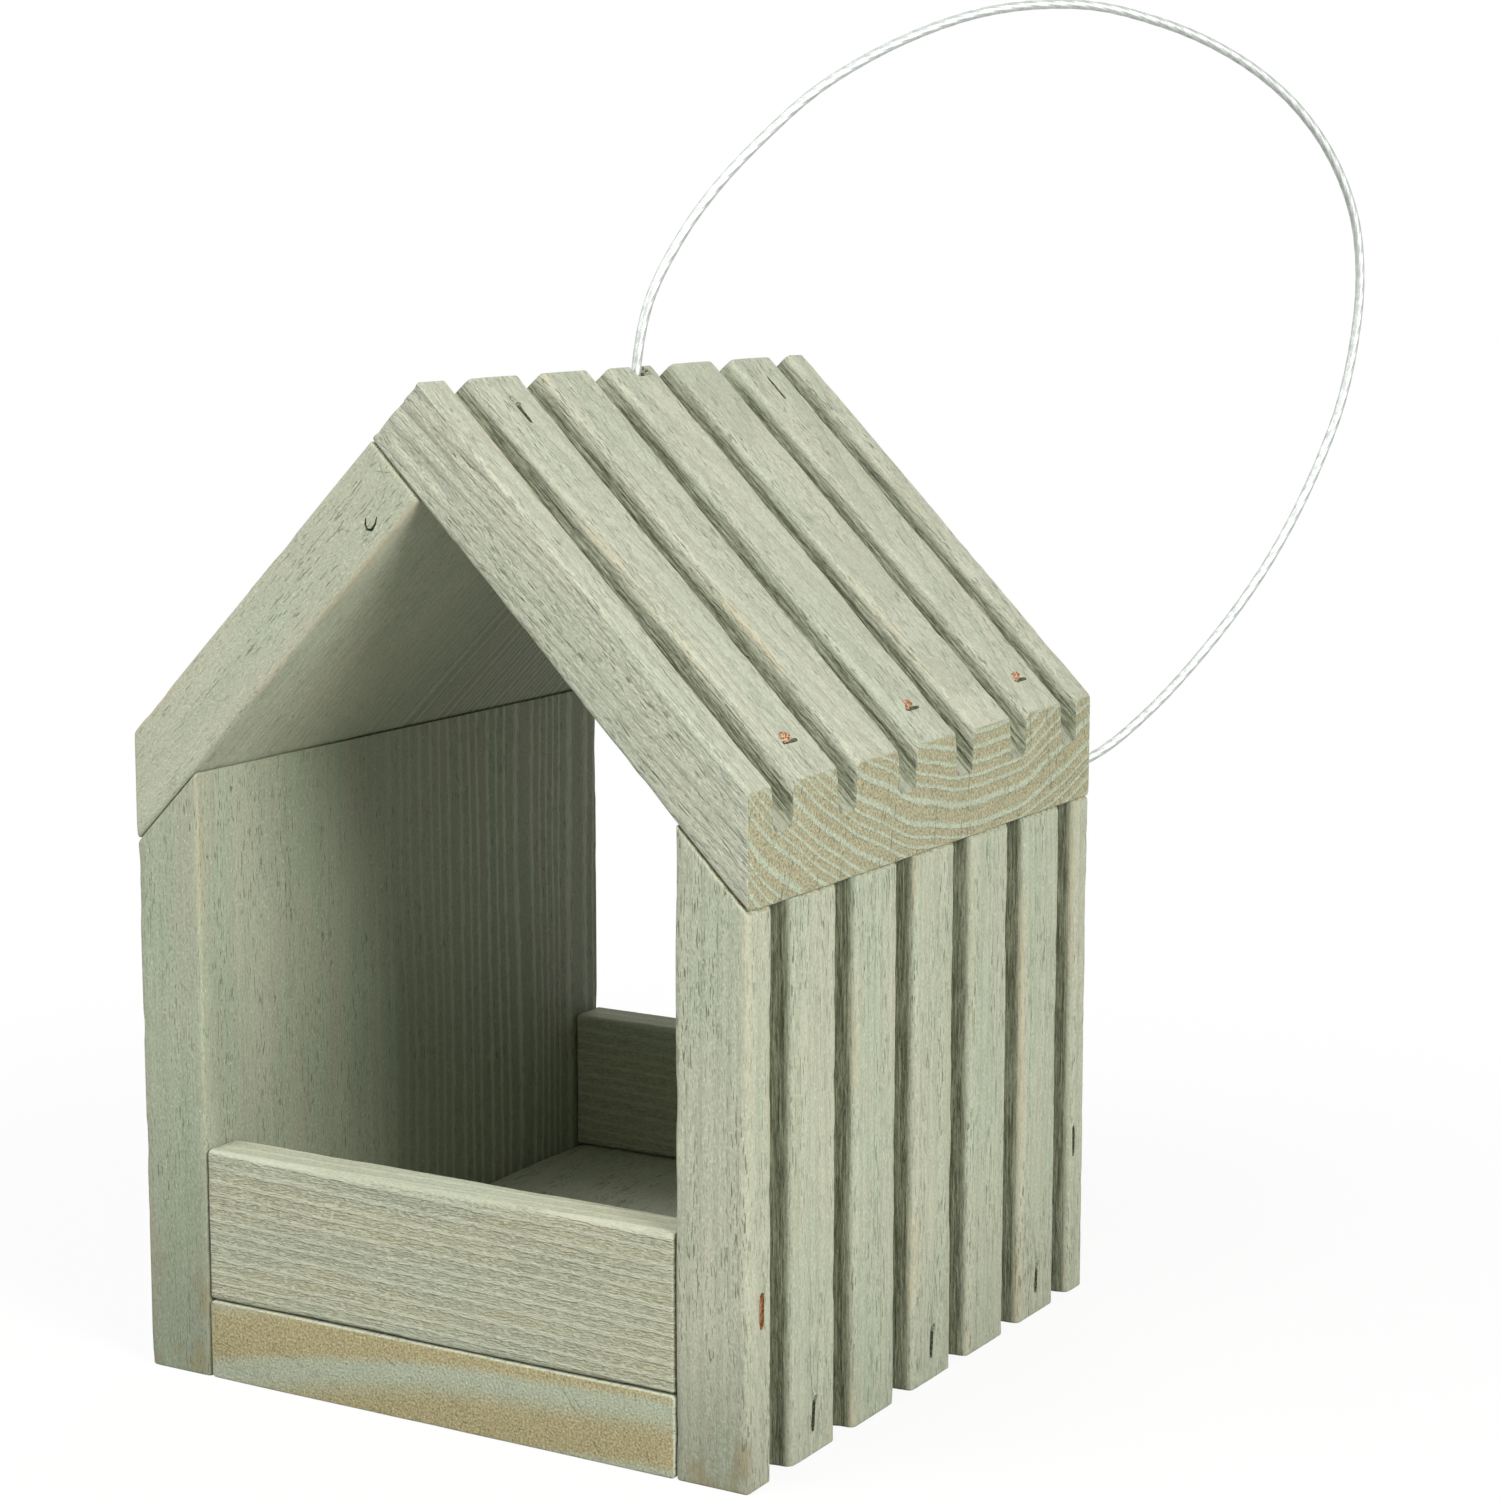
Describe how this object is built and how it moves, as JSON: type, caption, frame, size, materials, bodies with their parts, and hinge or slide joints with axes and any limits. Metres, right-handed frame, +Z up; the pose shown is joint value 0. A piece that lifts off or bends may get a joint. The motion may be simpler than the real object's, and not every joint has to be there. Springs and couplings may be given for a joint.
{
  "type": "bird house",
  "caption": "Open-fronted hanging wooden bird house with a square-lapped gable roof, walls and roof of grooved board, low rails front and back, and a steel cable loop through the ridge.",
  "frame": {"origin": "on the ground under the middle of the house, without the hanging loop", "axes": "+Z up, front opening towards -Y, right wall towards +X, the ridge along Y"},
  "size_m": [0.1718, 0.2132, 0.2737],
  "materials": {
    "stained_board": "grey-green translucent stain on planed softwood",
    "sawn_rail": "grey-green translucent stain on rough-sawn softwood",
    "steel_staple": "galvanised wire, stained over and browned",
    "steel_cable": "bright galvanised strand",
    "ferrule": "crimped, satin"
  },
  "bodies": {
    "house": {"left_wall": "stained_board", "right_wall": "stained_board", "left_roof": "stained_board", "right_roof": "stained_board", "floor_board": "stained_board", "front_rail": "sawn_rail", "back_rail": "sawn_rail", "left_floor_staples": "steel_staple", "right_floor_staples": "steel_staple", "left_rail_staples": "steel_staple", "right_rail_staples": "steel_staple", "left_eave_staples": "steel_staple", "right_eave_staples": "steel_staple", "ridge_staples": "steel_staple"},
    "hanging_loop": {"cable_ferrule": "ferrule", "hanging_cable": "steel_cable"}
  },
  "joints": [
    {"name": "loop_swivel", "type": "hinge", "parent": "house", "child": "hanging_loop", "pos_m": [0, 0.0025, 0.185], "axis": [0, 0, 1], "range_deg": [-1, 73]}
  ]
}
